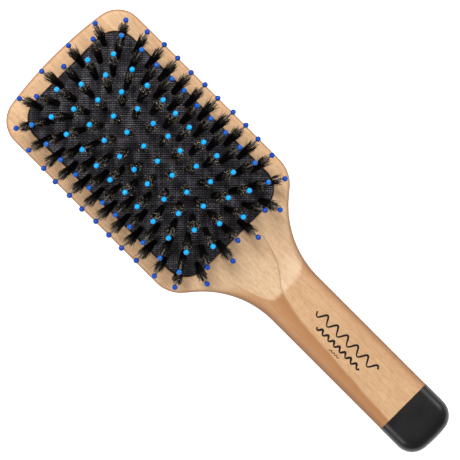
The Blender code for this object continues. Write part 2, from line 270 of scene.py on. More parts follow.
@dataclass(frozen=True)
class Beech:
    """Pale beech under a satin lacquer, with its grain along the brush."""

    head: Colour = (0.86, 0.575, 0.335)
    pale: Colour = (0.63, 0.44, 0.265)
    handle: Colour = (0.585, 0.370, 0.200)
    warm: Colour = (0.34, 0.138, 0.044)
    line: Colour = (0.22, 0.090, 0.032)
    # painted shade for the edges where the wood turns down
    edge: Colour = (0.17, 0.064, 0.016)
    # painted highlight on the ramp's end
    painted_ramp_highlight: Colour = (0.80, 0.62, 0.45)
    relief: float = 0.05 * MM
    handle_start: float = -26.5  # mm along Y, where the ramp ends
    handle_middle: float = 6.0  # mm to either side of the middle, within which the ramp's end is straight
    line_along: tuple[float, float] = (-102.0, 6.0)  # mm along Y, from the dip to the cushion
    line_across: tuple[float, float] = (-20.0, 36.0)  # mm along X, where it is at 0, and its whole way
    line_wander: float = 1.6  # mm
    # the share of the way along it, and its place across the brush there
    line_route: tuple[tuple[float, float], ...] = (
        (0.0, 0.30), (0.36, 0.37), (0.58, 0.42), (0.70, 0.50), (0.76, 0.63), (0.86, 0.78), (1.0, 0.85),
    )

    def make(self) -> bpy.types.Material:
        """Builds the wood.

        Returns:
            The material.
        """
        s = Shader("beech_lacquered")
        cloud = s.noise((30, 9, 30), 3.0)
        band = s.noise((170, 7, 170), 4.0, 0.6)
        fibre = s.noise((1100, 120, 1100), 4.0, 0.65)
        fleck = s.noise((620, 380, 620), 3.0, 0.6)
        pore = s.noise((2900, 330, 2900), 2.0)
        on_handle = self.on_handle(s)
        across, along = s.axis("X"), s.axis("Y")
        tone = s.mix(s.span(along, -8.0, 12.0), self.pale, self.head)
        rim = s.maths("MAXIMUM", s.maths("ABSOLUTE", across), s.maths("SUBTRACT", along, 80.0))
        tone = s.mix(s.span(rim, 28.0, 41.0, (0.0, 0.16)), tone, self.warm)
        tone = s.mix(on_handle, tone, self.handle)
        tone = s.mix(s.span(cloud, 0.35, 0.75, (0.0, 0.20)), tone, self.warm)
        tone = s.mix(s.span(band, 0.46, 0.70, (0.0, 0.20)), tone, self.warm)
        tone = s.mix(s.span(fibre, 0.40, 0.64, (0.0, 0.22)), tone, self.warm)
        tone = s.mix(s.span(fleck, 0.45, 0.65, (0.0, 0.13)), tone, self.warm)
        tone = s.mix(s.span(pore, 0.55, 0.66, (0.0, 0.22)), tone, self.line)
        tone = self.figure(s, tone, on_handle)
        tone = self.paint_edge_shade(s, tone)
        s.plain(Base_Color=tone, Coat_Weight=0.05, Coat_Roughness=0.35)
        s.plain(IOR=1.45, Specular_IOR_Level=0.35)
        s.plain(Roughness=s.span(fibre, 0.3, 0.7, (0.48, 0.60)))
        s.bump(s.maths("ADD", fibre, s.maths("MULTIPLY", pore, 0.6)), self.relief, 0.5)
        return s.material

    def on_handle(self, s: Shader) -> Socket:
        """Tells the handle from the head. They meet where the ramp ends, bent up at both sides.

        Args:
            s: The shader at work.

        Returns:
            1 on the handle and 0 on the head.
        """
        x, y = s.axis("X"), s.axis("Y")
        left = s.maths("MAXIMUM", s.maths("MULTIPLY_ADD", x, -1.0, -self.handle_middle), 0.0)
        right = s.maths("MAXIMUM", s.maths("SUBTRACT", x, self.handle_middle), 0.0)
        bend = s.maths("MULTIPLY", s.maths("MULTIPLY", left, left), 0.25)
        bend = s.maths("MULTIPLY_ADD", s.maths("MULTIPLY", right, right), 0.06, bend)
        along = s.maths("SUBTRACT", y, bend)
        ended = s.span(along, self.handle_start + 0.6, self.handle_start - 1.6)
        return s.maths("MULTIPLY", ended, s.span(y, -4.0, -20.0))

    def figure(self, s: Shader, tone: Socket, on_handle: Socket) -> Socket:
        """Adds the heartwood line that crosses the neck and runs down the handle, painted shade on the
        handle's right edge and a painted highlight at the ramp's end.

        Args:
            s: The shader at work.
            tone: The wood's colour so far.
            on_handle: 1 on the handle, 0 on the head.

        Returns:
            The colour with the line, the darker wood beside it, the painted shade and the painted highlight.
        """
        x, y = s.axis("X"), s.axis("Y")
        curve = s.add("FloatCurve")
        points = curve.mapping.curves[0].points
        points[0].location, points[1].location = self.line_route[0], self.line_route[-1]
        for place in self.line_route[1:-1]:
            points.new(*place)
        curve.mapping.update()
        s.put(curve.inputs["Value"], s.span(y, *self.line_along, even=True))
        start_x, way_x = self.line_across
        line_x = s.maths("MULTIPLY_ADD", curve.outputs["Value"], way_x, start_x)
        wander = s.noise((70, 70, 70), 2.0)
        swing = s.maths("MULTIPLY_ADD", wander, self.line_wander, -self.line_wander / 2)
        line_x = s.maths("ADD", line_x, swing)
        off = s.maths("SUBTRACT", x, line_x)
        beside = s.span(off, 0.5, -0.7)
        fade = s.span(off, -9.0, -0.5, (0.55, 1.0))
        dark = s.maths("MULTIPLY", s.maths("MULTIPLY", beside, on_handle), fade)
        tone = s.mix(s.maths("MULTIPLY", dark, 0.84), tone, self.warm)
        # painted shade: darker towards the handle's right edge, where it rounds off
        right = s.maths("MULTIPLY", s.span(x, 7.5, 12.0), on_handle)
        tone = s.mix(s.maths("MULTIPLY", right, 0.24), tone, self.warm)
        thin = s.span(s.maths("ABSOLUTE", off), 0.55, 0.05)
        near = s.span(y, -60.0, -18.0)
        thin = s.maths("MULTIPLY", thin, s.maths("MULTIPLY", near, s.span(y, 5.0, -4.0)))
        tone = s.mix(s.maths("MULTIPLY", thin, 0.45), tone, self.line)
        # painted highlight: the last of the ramp, beside the line, is painted lighter where it faces the
        # light
        pale = s.maths("MULTIPLY", s.span(y, -12.0, -24.0), s.maths("SUBTRACT", 1.0, on_handle))
        pale = s.maths("MULTIPLY", pale, s.span(off, 0.3, 1.2))
        return s.mix(s.maths("MULTIPLY", pale, 0.25), tone, self.painted_ramp_highlight)

    def paint_edge_shade(self, s: Shader, tone: Socket) -> Socket:
        """Paints shade on the wood where it turns down at its edges, warmer and then dark brown as it leans
        from upright.

        Args:
            s: The shader at work.
            tone: The wood's colour so far.

        Returns:
            The colour with painted shade on its sides.
        """
        facing = s.add("SeparateXYZ")
        s.put(facing.inputs[0], s.add("NewGeometry").outputs["Normal"])
        upright = s.maths("ABSOLUTE", facing.outputs["Z"])
        # painted shade: warmer, then dark brown, as the normal leans away from upright
        tone = s.mix(s.span(upright, 0.995, 0.80, (0.0, 0.30)), tone, self.warm)
        return s.mix(s.span(upright, 0.92, 0.35, (0.0, 0.94)), tone, self.edge)


@dataclass(frozen=True)
class DipCoat:
    """Black dip lacquer with a soft gloss."""

    colour: Colour = (0.002, 0.0018, 0.0021)
    cloudy: Colour = (0.0046, 0.0042, 0.0048)
    relief: float = 0.03 * MM

    def make(self) -> bpy.types.Material:
        """Builds the coat.

        Returns:
            The material.
        """
        s = Shader("black_dip_coat")
        cloud = s.noise((90, 90, 90), 3.0)
        orange_peel = s.noise((900, 900, 900), 2.0)
        s.plain(Base_Color=s.mix(cloud, self.colour, self.cloudy))
        s.plain(Roughness=s.span(cloud, 0.3, 0.7, (0.30, 0.40)), Specular_IOR_Level=0.32)
        s.plain(Coat_Weight=0.06, Coat_Roughness=0.2)
        s.bump(orange_peel, self.relief, 0.35)
        return s.material


@dataclass(frozen=True)
class Weave:
    """Fine black plain-weave fabric, cut on the bias, with its sheen painted in as grey on the threads'
    crowns.
    """

    # the black threads with their sheen painted in as grey
    thread_sheen: Colour = (0.235, 0.222, 0.255)
    gap: Colour = (0.001, 0.0008, 0.0015)
    fuzz: Colour = (0.36, 0.35, 0.37)
    per_metre: float = 1000.0  # threads
    turn: float = math.pi / 4
    relief: float = 0.22 * MM

    def make(self) -> bpy.types.Material:
        """Builds the fabric.

        Returns:
            The material.
        """
        s = Shader("black_woven_fabric")
        parts = s.add("SeparateXYZ")
        s.put(parts.inputs[0], s.place((self.per_metre,) * 3, self.turn))
        warp, weft = parts.outputs["X"], parts.outputs["Y"]
        over = s.maths("MODULO", s.maths("ADD", s.maths("FLOOR", warp), s.maths("FLOOR", weft)), 2.0)
        over = s.maths("ABSOLUTE", over)
        across_warp = s.maths("ABSOLUTE", s.maths("SINE", s.maths("MULTIPLY", warp, math.pi)))
        across_weft = s.maths("ABSOLUTE", s.maths("SINE", s.maths("MULTIPLY", weft, math.pi)))
        ridge, rib = s.maths("POWER", across_warp, 0.6), s.maths("POWER", across_weft, 2.1)
        height = s.maths("MULTIPLY", ridge, rib)
        # the weave's real pattern, with a painted highlight on the crowns and on the threads that lie over
        lit = s.maths("MULTIPLY", height, s.span(over, 0.2, 0.8, (0.6, 1.0)))
        cloud = s.noise((160, 160, 160), 3.0)
        ends = s.noise((self.per_metre * 0.5, 60, 60), 2.0, turn=self.turn)
        picks = s.noise((60, self.per_metre * 0.9, 60), 2.0, turn=self.turn)
        fuzz = s.noise((4200, 4200, 4200), 2.0)
        uneven = s.span(s.maths("ADD", ends, picks), 0.78, 1.22, (0.3, 1.6))
        columns = s.noise((330, 45, 330), 2.0, turn=self.turn)
        uneven = s.maths("MULTIPLY", uneven, s.span(columns, 0.35, 0.65, (0.55, 1.35)))
        lit = s.maths("MULTIPLY", lit, uneven)
        thread_sheen = s.mix(s.span(cloud, 0.35, 0.65, (0.0, 0.6)), self.thread_sheen, self.gap)
        thread_sheen = s.mix(s.span(fuzz, 0.56, 0.70, (0.0, 0.5)), thread_sheen, self.fuzz)
        s.plain(Base_Color=s.mix(lit, self.gap, thread_sheen), Roughness=0.72)
        s.plain(Specular_IOR_Level=0.2, Sheen_Weight=0.1, Sheen_Roughness=0.4)
        s.bump(lit, self.relief, 0.9)
        return s.material


@dataclass(frozen=True)
class Rubber:
    """Matt black moulded rubber."""

    colour: Colour = (0.014, 0.014, 0.015)
    dusty: Colour = (0.03, 0.03, 0.031)
    relief: float = 0.04 * MM

    def make(self) -> bpy.types.Material:
        """Builds the rubber.

        Returns:
            The material.
        """
        s = Shader("black_rubber")
        grain = s.noise((2400, 2400, 2400), 3.0)
        s.plain(Base_Color=s.mix(grain, self.colour, self.dusty), Roughness=0.8)
        s.bump(grain, self.relief, 0.5)
        return s.material


@dataclass(frozen=True)
class BoarBristle:
    """Natural black bristle whose ends bleach to brown and straw, its pale ends partly painted glints."""

    shaft: Colour = (0.004, 0.003, 0.003)
    faded: Colour = (0.010, 0.007, 0.007)
    brown: Colour = (0.16, 0.085, 0.025)
    straw_and_glint: Colour = (0.95, 0.85, 0.66)

    def make(self) -> bpy.types.Material:
        """Builds the bristle. The mesh holds how far along and how pale each bristle is; the pale ends are
        partly bleached and partly painted glints.

        Returns:
            The material.
        """
        s = Shader("boar_bristle")
        along, pale = s.attribute("along"), s.attribute("pale")
        ends = s.mix(s.span(pale, 0.12, 0.7), self.brown, self.straw_and_glint)
        # only the very end of a bristle is pale, so that it shows end-on: partly a bleached tip, partly a
        # painted glint
        start = s.maths("SUBTRACT", 0.99, s.maths("MULTIPLY", pale, 0.015))
        tip = s.maths("MULTIPLY", s.span(along, start, 1.0), s.span(pale, 0.03, 0.42, (0.15, 1.0)))
        grey = s.noise((700, 700, 700), 2.0)
        shaft = s.mix(s.span(grey, 0.4, 0.8, (0.0, 0.5)), self.shaft, self.faded)
        s.plain(Base_Color=s.mix(tip, shaft, ends), Roughness=0.5, Specular_IOR_Level=0.2)
        return s.material


@dataclass(frozen=True)
class Nylon:
    """Clear, slightly smoky moulded nylon."""

    colour: Colour = (0.40, 0.37, 0.35)
    smoky: Colour = (0.28, 0.26, 0.25)

    def make(self) -> bpy.types.Material:
        """Builds the nylon.

        Returns:
            The material.
        """
        s = Shader("smoky_nylon")
        drawn = s.noise((900, 900, 90), 2.0)
        s.plain(Base_Color=s.mix(drawn, self.colour, self.smoky))
        s.plain(Roughness=0.18, IOR=1.5, Transmission_Weight=0.55)
        return s.material


@dataclass(frozen=True)
class Bead:
    """Glossy blue resin of a quill's ball, with painted shade: deeper blue on the outermost quills and a dark
    rim at each ball's edge.
    """

    bright: Colour = (0.0, 0.42, 1.0)
    deep: Colour = (0.0, 0.055, 0.42)
    # painted shade at each ball's edge
    rim: Colour = (0.0, 0.010, 0.10)

    def make(self) -> bpy.types.Material:
        """Builds the resin. The mesh holds how deep each ball's blue is, which is painted shade.

        Returns:
            The material.
        """
        s = Shader("blue_ball_resin")
        cloud = s.noise((500, 500, 500), 2.0)
        deep = s.attribute("deep")
        # painted shade: the outer balls are deeper blue
        blue = s.mix(deep, self.bright, self.deep)
        # painted shade: a dark rim where the ball's surface turns away from upright
        facing = s.add("SeparateXYZ")
        s.put(facing.inputs[0], s.add("NewGeometry").outputs["Normal"])
        ring = s.span(facing.outputs["Z"], 0.86, 0.45)
        ring = s.maths("MULTIPLY", ring, s.maths("MULTIPLY_ADD", deep, 0.4, 0.55))
        blue = s.mix(ring, blue, self.rim)
        s.plain(Base_Color=s.mix(s.span(cloud, 0.4, 0.8, (0.0, 0.15)), blue, self.deep))
        s.plain(Roughness=0.10, IOR=1.5, Specular_IOR_Level=0.25)
        return s.material


@dataclass(frozen=True)
class Ink:
    """Black printing ink, worn a little thin."""

    colour: Colour = (0.004, 0.003, 0.003)
    thin: Colour = (0.05, 0.03, 0.02)

    def make(self) -> bpy.types.Material:
        """Builds the ink.

        Returns:
            The material.
        """
        s = Shader("black_ink")
        worn = s.noise((2500, 2500, 2500), 2.0)
        s.plain(Base_Color=s.mix(s.span(worn, 0.6, 0.8, (0.0, 0.4)), self.colour, self.thin))
        s.plain(Roughness=0.6, Specular_IOR_Level=0.2)
        return s.material


# --- Mesh work ----------------------------------------------------------------------------------


def new_piece(name: str, points: list, faces: list, sharp: float | None = 35.0) -> bpy.types.Object:
    """A mesh object with its faces turned out and its soft edges smooth.

    Args:
        name: The piece's name.
        points: The mesh's points.
        faces: The points of each face.
        sharp: Edges that turn more than this many degrees stay sharp. None keeps all smooth.

    Returns:
        The object, in the scene.
    """
    mesh = bpy.data.meshes.new(name)
    mesh.from_pydata([tuple(p) for p in points], [], faces)
    work = bmesh.new()
    work.from_mesh(mesh)
    bmesh.ops.recalc_face_normals(work, faces=work.faces)
    work.to_mesh(mesh)
    work.free()
    mesh.shade_smooth()
    if sharp is not None:
        mesh.set_sharp_from_angle(angle=math.radians(sharp))
    piece = bpy.data.objects.new(name, mesh)
    bpy.context.scene.collection.objects.link(piece)
    return piece


def apply_modifiers(piece: bpy.types.Object) -> None:
    """Replaces a piece's mesh by what its modifiers make of it.

    Args:
        piece: The piece, which has no modifiers afterwards.
    """
    graph = bpy.context.evaluated_depsgraph_get()
    made = bpy.data.meshes.new_from_object(piece.evaluated_get(graph), depsgraph=graph)
    old = piece.data
    piece.modifiers.clear()
    piece.data = made
    bpy.data.meshes.remove(old)


def cut(piece: bpy.types.Object, cutter: bpy.types.Object, operation: str = "DIFFERENCE") -> None:
    """Cuts a piece by another one, which is then gone.

    Args:
        piece: The piece that is cut.
        cutter: The closed mesh that cuts it.
        operation: DIFFERENCE or INTERSECT.
    """
    modifier = piece.modifiers.new("cut", "BOOLEAN")
    modifier.object = cutter
    modifier.operation = operation
    modifier.solver = "EXACT"
    apply_modifiers(piece)
    bpy.data.objects.remove(cutter)


def even_shading(piece: bpy.types.Object, sharp: float) -> None:
    """Shades flat faces flat and curved ones smooth, by weighting normals with face area.

    Args:
        piece: The piece that is shaded.
        sharp: Edges that turn more than this many degrees stay sharp.
    """
    piece.data.shade_smooth()
    piece.data.set_sharp_from_angle(angle=math.radians(sharp))
    modifier = piece.modifiers.new("even", "WEIGHTED_NORMAL")
    modifier.keep_sharp = True
    apply_modifiers(piece)


def dress(piece: bpy.types.Object, finish: bpy.types.Material) -> None:
    """Gives a piece its finish.

    Args:
        piece: The piece that is dressed.
        finish: Its material.
    """
    piece.data.materials.clear()
    piece.data.materials.append(finish)


def smooth_step(x: float) -> float:
    """0 below 0, 1 above 1, and a smooth rise between."""
    x = min(max(x, 0.0), 1.0)
    return x * x * (3 - 2 * x)


def arc(centre: tuple, radius: float, start: float, end: float, steps: int) -> list[Vector]:
    """Points on an arc from one angle to another, in radians from +X, both ends included."""
    turns = [start + (end - start) * i / steps for i in range(steps + 1)]
    return [Vector((centre[0] + radius * math.cos(t), centre[1] + radius * math.sin(t))) for t in turns]


def bridge(rings: int, around: int, closed: bool = False) -> list[tuple[int, ...]]:
    """Faces between rings of points that follow one another.

    Args:
        rings: How many rings there are.
        around: How many points each of them has.
        closed: Whether the last ring joins the first.

    Returns:
        The faces, each of four points.
    """
    faces = []
    for k in range(rings if closed else rings - 1):
        a, b = k * around, (k + 1) % rings * around
        for i in range(around):
            j = (i + 1) % around
            faces.append((a + i, a + j, b + j, b + i))
    return faces


def rim_edges(triangles: list) -> list[tuple[int, int]]:
    """The outer edges of a triangulated plan.

    Args:
        triangles: The points of each triangle.

    Returns:
        The edges that only one triangle has.
    """
    seen: dict = {}
    for face in triangles:
        for i in range(3):
            a, b = face[i], face[(i + 1) % 3]
            key = (min(a, b), max(a, b))
            seen[key] = None if key in seen else (a, b)
    return [edge for edge in seen.values() if edge]


# --- The wood and its dipped end ----------------------------------------------------------------


@dataclass
class WoodBody:
    """The head, neck and handle in one piece of beech, and the coat on the handle's end."""

    corner: float = 13 * MM
    crown: float = 200 * MM
    front_round: tuple[float, float] = (2.2 * MM, 5.0 * MM)  # head, handle
    back_round: tuple[float, float] = (4.0 * MM, 6.0 * MM)
    shoulder_radius: float = 16 * MM
    shoulder_angle: float = math.radians(50)
    neck_radius: float = 45 * MM
    end_radius: float = 9 * MM
    end_crown: float = 60 * MM
    head_thickness: float = 14 * MM
    ramp_length: float = 26 * MM
    ramp_to_handle: float = 6.5 * MM
    neck_rim: float = 5.3 * MM  # wood between the cushion and the shoulders
    seat_gap: float = 0.3 * MM
    seat_depth: float = 10 * MM
    seat_edge: float = 0.45 * MM  # rounding of the seat's mouth
    seat_above: float = 5 * MM  # how far its cutter stands out of the wood
    coat: float = 0.12 * MM
    beyond: float = 20 * MM  # how far a cutting block goes past the ends
    aside: float = 10 * MM  # and past the sides, the back and the front
    wood_sharp: float = 32.0  # degrees
    coat_sharp: float = 50.0
    steps: int = 18
    round_steps: int = 8
    mouth_steps: int = 4
    straight_steps: int = 12
    low: Vector = field(init=False)
    high: Vector = field(init=False)
    half_handle: float = field(init=False)
    dip_y: float = field(init=False)

    def __post_init__(self) -> None:
        """Reads the overall sizes from the frame."""
        wood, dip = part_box("beech_body"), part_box("handle_dip")
        self.low = Vector(map(min, wood[0], dip[0]))
        self.high = Vector(map(max, wood[1], dip[1]))
        self.half_handle = dip[1].x
        self.dip_y = dip[1].y + self.seat_gap

    def crowned(self, half: float, y: float, crown: float, corner: float, way: int) -> list[Vector]:
        """An end of the outline, from its middle round the corner to the side.

        Args:
            half: Half the width there.
            y: Where the end's middle is.
            crown: The end arc's radius.
            corner: The corner's radius.
            way: 1 for the top end, -1 for the bottom one.

        Returns:
            The points on the right half.
        """
        lean = math.asin((half - corner) / (crown - corner))
        points = arc((0, 0), crown, math.pi / 2, math.pi / 2 - lean, self.steps)
        drop = (crown - corner) * math.cos(lean)
        points += arc((half - corner, drop), corner, math.pi / 2 - lean, 0, self.steps)[1:]
        return [Vector((p.x, y + way * (p.y - crown))) for p in points]

    def outline(self, shoulder_y: float) -> tuple[list[Vector], float]:
        """The right half of the outline, from the head's middle to the handle's.

        Args:
            shoulder_y: Where the shoulders start.

        Returns:
            The points and the place where the handle's sides turn straight.
        """
        half = self.high.x
        head = self.crowned(half, self.high.y, self.crown, self.corner, 1)
        turn = self.shoulder_angle
        shoulder = arc((half - self.shoulder_radius, shoulder_y), self.shoulder_radius, 0, -turn, self.steps)
        centre_x = self.half_handle + self.neck_radius
        start_x = centre_x - self.neck_radius * math.cos(turn)
        fall = (shoulder[-1].x - start_x) / math.tan(turn)
        neck_y = shoulder[-1].y - fall - self.neck_radius * math.sin(turn)
        neck = arc((centre_x, neck_y), self.neck_radius, math.pi - turn, math.pi, self.steps)
        handle = self.straight(self.half_handle, neck_y, self.dip_y)
        end = self.crowned(self.half_handle, self.low.y, self.end_crown, self.end_radius, -1)
        side = self.straight(half, head[-1].y, shoulder_y)
        return head + side + shoulder + neck + handle + end[::-1], neck_y

    def straight(self, x: float, start: float, end: float) -> list[Vector]:
        """Points along a straight side at x, from start to end along Y, without both ends."""
        steps = self.straight_steps
        return [Vector((x, start + (end - start) * i / steps)) for i in range(1, steps)]

    def station(self, y: float, neck_y: float) -> tuple[float, float, float]:
        """The body's section at one place along it.

        Args:
            y: The place.
            neck_y: Where the handle's sides turn straight.

        Returns:
            The front face's height, and the rounding of the front's and the back's edges.
        """
        ramp = (neck_y + self.ramp_to_handle + self.ramp_length - y) / self.ramp_length
        ramp = min(max(ramp, 0.0), 1.0)
        blend = smooth_step(ramp)
        front, back = self.front_round, self.back_round
        return (
            self.head_thickness + (self.high.z - self.head_thickness) * ramp,
            front[0] + (front[1] - front[0]) * blend,
            back[0] + (back[1] - back[0]) * blend,
        )

    def loft(self, name: str, shoulder_y: float, grow: float = 0.0) -> bpy.types.Object:
        """The whole closed body, grown by a coat's thickness.

        Args:
            name: The object's name.
            shoulder_y: Where the shoulders start.
            grow: How much it stands out on every side.

        Returns:
            The object.
        """
        outline, neck_y = self.outline(shoulder_y)
        last = len(outline) - 1
        normals = []
        for i in range(last + 1):
            before = outline[i - 1] if i else Vector((-outline[1].x, outline[1].y))
            after = outline[i + 1] if i < last else Vector((-outline[-2].x, outline[-2].y))
            along = after - before
            normals.append(Vector((-along.y, along.x)).normalized())
        levels = []
        for step in range(2 * self.round_steps + 2):
            top = step > self.round_steps
            turn = math.pi / 2 * (step - self.round_steps - 1 if top else step) / self.round_steps
            ring = []
            for p, n in zip(outline, normals):
                height, front, back = self.station(p.y, neck_y)
                radius = (front if top else back) + grow
                pulled = radius * (1 - (math.cos(turn) if top else math.sin(turn))) - grow
                rise = radius * math.sin(turn) if top else radius * (1 - math.cos(turn))
                z = height + grow - radius + rise if top else max(rise - grow, 0.0)
                q = p - n * pulled
                ring.append(Vector((max(q.x, 0.0), q.y, z)))
            levels.append(ring + [Vector((-q.x, q.y, q.z)) for q in ring[last - 1 : 0 : -1]])
        around = len(levels[0])
        faces = bridge(len(levels), around)
        for base in (0, (len(levels) - 1) * around):
            for i in range(last):
                rung = (i, i + 1, (around - i - 1) % around, (around - i) % around)
                faces.append(tuple(dict.fromkeys(base + n for n in rung)))
        return new_piece(name, [p for ring in levels for p in ring], faces)

    def block(self, y_from: float, y_to: float) -> bpy.types.Object:
        """A block that spans the body between two places along it.

        Args:
            y_from: Where it starts.
            y_to: Where it ends.

        Returns:
            The block.
        """
        x, low, high = self.high.x + self.aside, -self.aside, self.high.z + self.aside
        points = [(a * x, b, c) for c in (low, high) for b in (y_from, y_to) for a in (-1, 1)]
        faces = [(0, 2, 3, 1), (4, 5, 7, 6), (0, 1, 5, 4), (2, 6, 7, 3), (0, 4, 6, 2), (1, 3, 7, 5)]
        return new_piece("block", points, faces)

    def seat(self, cushion: Cushion) -> bpy.types.Object:
        """The recess for the cushion, with a softly rounded mouth.

        Args:
            cushion: The cushion, whose outline it follows.

        Returns:
            The closed mesh that cuts it out.
        """
        loops = [(self.seat_gap, self.head_thickness - self.seat_depth)]
        for i in range(self.mouth_steps + 1):
            turn = math.pi / 2 * i / self.mouth_steps
            out = self.seat_gap + self.seat_edge * (1 - math.cos(turn))
            loops.append((out, self.head_thickness - self.seat_edge * (1 - math.sin(turn))))
        # a hair wider than the mouth's last loop, so that the wall above it isn't quite upright
        loops.append((self.seat_gap + self.seat_edge * 1.001, self.head_thickness + self.seat_above))
        points = [(p.x, p.y, z) for grow, z in loops for p in cushion.loop(grow)]
        n = len(points) // len(loops)
        faces = bridge(len(loops), n)
        faces += [tuple(range(n)), tuple(range(len(points) - n, len(points)))]
        return new_piece("seat", points, faces)

    def build(self, cushion: Cushion) -> None:
        """Makes the wood and the dipped end and puts them on the wood's body.

        Args:
            cushion: The cushion, which the wood has a recess for.
        """
        shoulder_y = cushion.low.y - self.neck_rim + self.shoulder_radius
        wood = self.loft("beech_head_and_handle", shoulder_y)
        cut(wood, self.block(self.low.y - self.beyond, self.dip_y))
        cut(wood, self.seat(cushion))
        even_shading(wood, self.wood_sharp)
        coat = self.loft("dipped_handle_end", shoulder_y, self.coat)
        cut(coat, self.block(self.dip_y, self.high.y + self.beyond))
        even_shading(coat, self.coat_sharp)
        dress(wood, Beech().make())
        dress(coat, DipCoat().make())
        for piece, node in ((wood, "beech_body"), (coat, "handle_dip")):
            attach(piece, Body.WOOD.value)
            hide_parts(node)
            LOG.info("%s: %d faces", piece.name, len(piece.data.polygons))


# --- The printed mark ---------------------------------------------------------------------------


@dataclass(frozen=True)
class Wave:
    """One inked wave along the handle. All its sizes are in millimetres."""

    across: float  # the middle's place across the handle
    start: float
    end: float
    swing: float
    length: float  # of one whole wave
    width: float  # of the line at its widest


@dataclass
class PrintedWaves:
    """Three inked waves on the handle's flat front. They are a plain ornament, not lettering."""

    waves: tuple[Wave, ...] = (
        Wave(3.0, -44.0, -82.0, 1.9, 6.4, 1.0),
        Wave(-2.2, -49.0, -76.0, 0.9, 3.6, 1.15),
        Wave(-5.4, -60.0, -66.0, 0.35, 1.6, 0.4),
    )
    lift: float = 0.02 * MM
    thickness: float = 0.02 * MM
    thinnest: float = 0.55  # of the line's width
    swell_from: float = 0.6  # radians of a half wave, where the swell starts
    wave_steps: int = 16

    def build(self) -> None:
        """Makes the waves as thin films of ink on the wood."""
        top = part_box("beech_body")[1].z + self.lift
        points, faces = [], []
        for wave in self.waves:
            way = wave.end - wave.start
            steps = int(abs(way) / wave.length * self.wave_steps)
            base = len(points)
            for i in range(steps + 1):
                y = wave.start + way * i / steps
                turn = 2 * math.pi * (y - wave.start) / wave.length
                slope = wave.swing * math.cos(turn) * 2 * math.pi / wave.length
                side = Vector((1, -slope)).normalized()
                swell = self.thinnest + (1 - self.thinnest) * abs(math.sin(turn / 2 + self.swell_from))
                half = wave.width / 2 * swell
                middle = Vector((wave.across + wave.swing * math.sin(turn), y))
                for sign, z in ((-1, 0), (1, 0), (1, 1), (-1, 1)):
                    p = middle + side * sign * half
                    points.append((p.x * MM, p.y * MM, top + z * self.thickness))
            for i in range(steps):
                a, b = base + 4 * i, base + 4 * i + 4
                faces += [(a + k, a + (k + 1) % 4, b + (k + 1) % 4, b + k) for k in range(4)]
            faces += [tuple(range(base, base + 4)), tuple(range(base + 4 * steps, base + 4 * steps + 4))]
        ink = new_piece("printed_waves", points, faces, 60)
        dress(ink, Ink().make())
        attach(ink, Body.WOOD.value)
        LOG.info("%s: %d faces", ink.name, len(faces))


# --- Tufts --------------------------------------------------------------------------------------


@dataclass
class Tuft:
    """Where one quill and its bristles stand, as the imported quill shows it."""

    tip: Vector
    axis: Vector
    root: Vector

    @property
    def along(self) -> Vector:
        """The direction across the tuft nearest to the brush's length."""
        return (Vector((0, 1, 0)) - self.axis * self.axis.y).normalized()

    @property
    def across(self) -> Vector:
        """The direction across the tuft nearest to the brush's width."""
        return self.along.cross(self.axis)

    @property
    def splay(self) -> float:
        """How far it leans, in degrees."""
        return math.degrees(self.axis.angle(Vector((0, 0, 1))))


@dataclass
class Row:
    """One row of tufts, read from its packed quills."""

    number: int
    reach: float = 26.75 * MM  # from the cushion's face to a ball's far side
    foot_gap: float = 3 * MM  # points further apart than this along the row are of two quills
    tufts: list[Tuft] = field(default_factory=list)

    def __post_init__(self) -> None:
        """Finds each quill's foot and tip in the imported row's points."""
        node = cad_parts[f"quill_row_{self.number}"]
        points = np.unique(np.round([v.co for v in node.data.vertices], 6), axis=0)
        low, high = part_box(node.name)
        middle = (low.z + high.z) / 2
        feet = self.groups(points[points[:, 2] < middle])
        tips = self.groups(points[points[:, 2] >= middle])
        for foot, tip in zip(feet, tips):
            start = foot.mean(0)
            end = tip[np.argmax(np.linalg.norm(tip - start, axis=1))]
            axis = Vector(end - start).normalized()
            self.tufts.append(Tuft(Vector(end), axis, Vector(end) - axis * self.reach))

    def groups(self, points: np.ndarray) -> list[np.ndarray]:
        """Splits points wherever there is a gap along the row.

        Args:
            points: The points, one to a line.

        Returns:
            The points of each quill, in the order along the row.
        """
        points = points[np.argsort(points[:, 1])]
        breaks = np.where(np.diff(points[:, 1]) > self.foot_gap)[0] + 1
        return np.split(points, breaks)

    @property
    def body(self) -> str:
        """The body that the row rides on."""
        return f"row_{self.number}"


# --- The cushion --------------------------------------------------------------------------------


